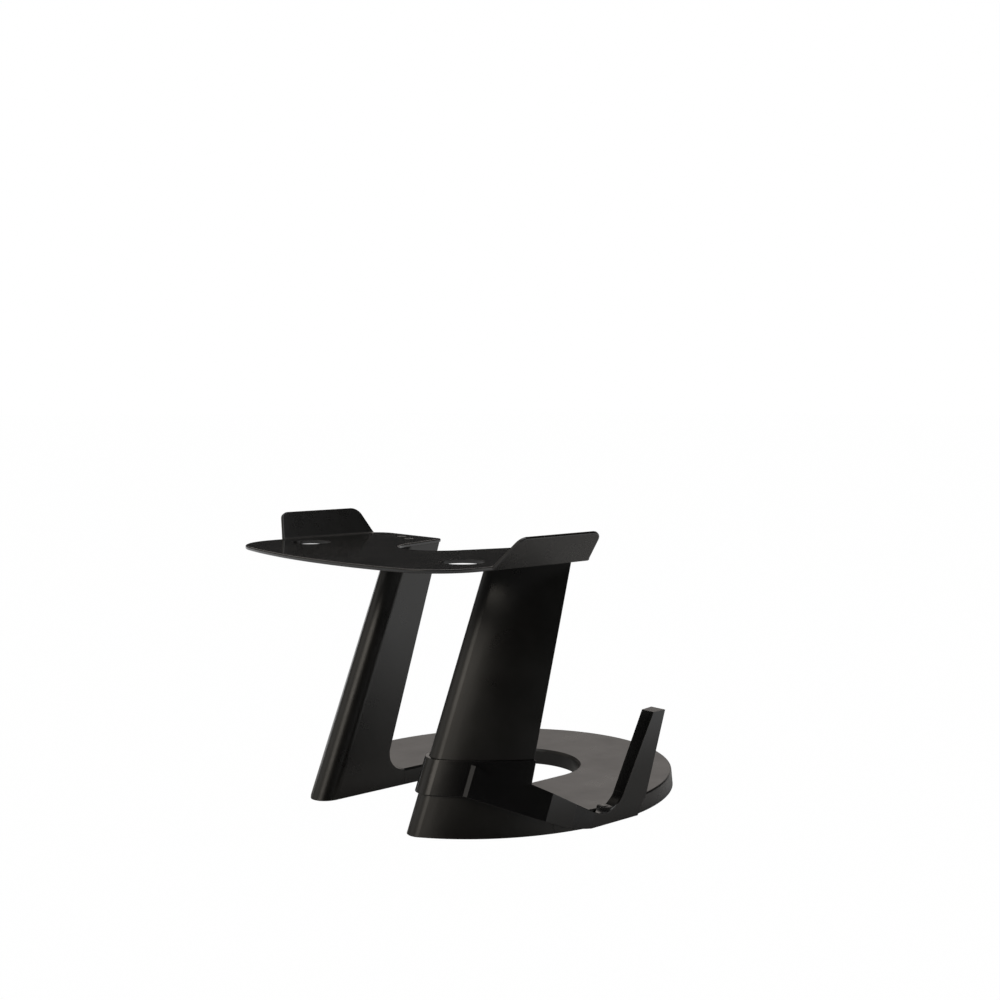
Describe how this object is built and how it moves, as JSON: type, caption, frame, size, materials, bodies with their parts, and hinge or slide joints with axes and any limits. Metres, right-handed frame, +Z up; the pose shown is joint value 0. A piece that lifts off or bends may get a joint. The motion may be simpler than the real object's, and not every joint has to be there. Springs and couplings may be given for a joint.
{
  "type": "vr headset stand",
  "caption": "Horseshoe base with two leaning hollow legs that carry an oval tray with flared wings, and a clip-on side cradle",
  "frame": {"origin": "on the desk, under the middle of the whole stand", "axes": "+X runs across the stand to the leg that carries the cradle, +Y runs from the tray's front to the back of the base and is the longest way, +Z is up"},
  "size_m": [0.233, 0.2646, 0.1734],
  "materials": {
    "black_plastic": "satin black moulded plastic",
    "dark_grey_plastic": "satin black moulded plastic, a little cooler",
    "pad_rubber": "matt black rubber",
    "screw_steel": "blackened steel"
  },
  "bodies": {
    "root": {"base_plate": "black_plastic", "right_leg": "black_plastic", "left_leg": "black_plastic", "top_tray": "black_plastic", "side_cradle": "dark_grey_plastic", "foot_pad_1": "pad_rubber", "foot_pad_2": "pad_rubber", "foot_pad_3": "pad_rubber", "foot_pad_4": "pad_rubber", "foot_pad_5": "pad_rubber", "foot_pad_6": "pad_rubber", "tray_screw_1": "screw_steel", "tray_screw_2": "screw_steel", "tray_screw_3": "screw_steel", "tray_screw_4": "screw_steel", "base_screw_1": "screw_steel", "base_screw_2": "screw_steel", "base_screw_3": "screw_steel", "base_screw_4": "screw_steel"}
  },
  "joints": []
}
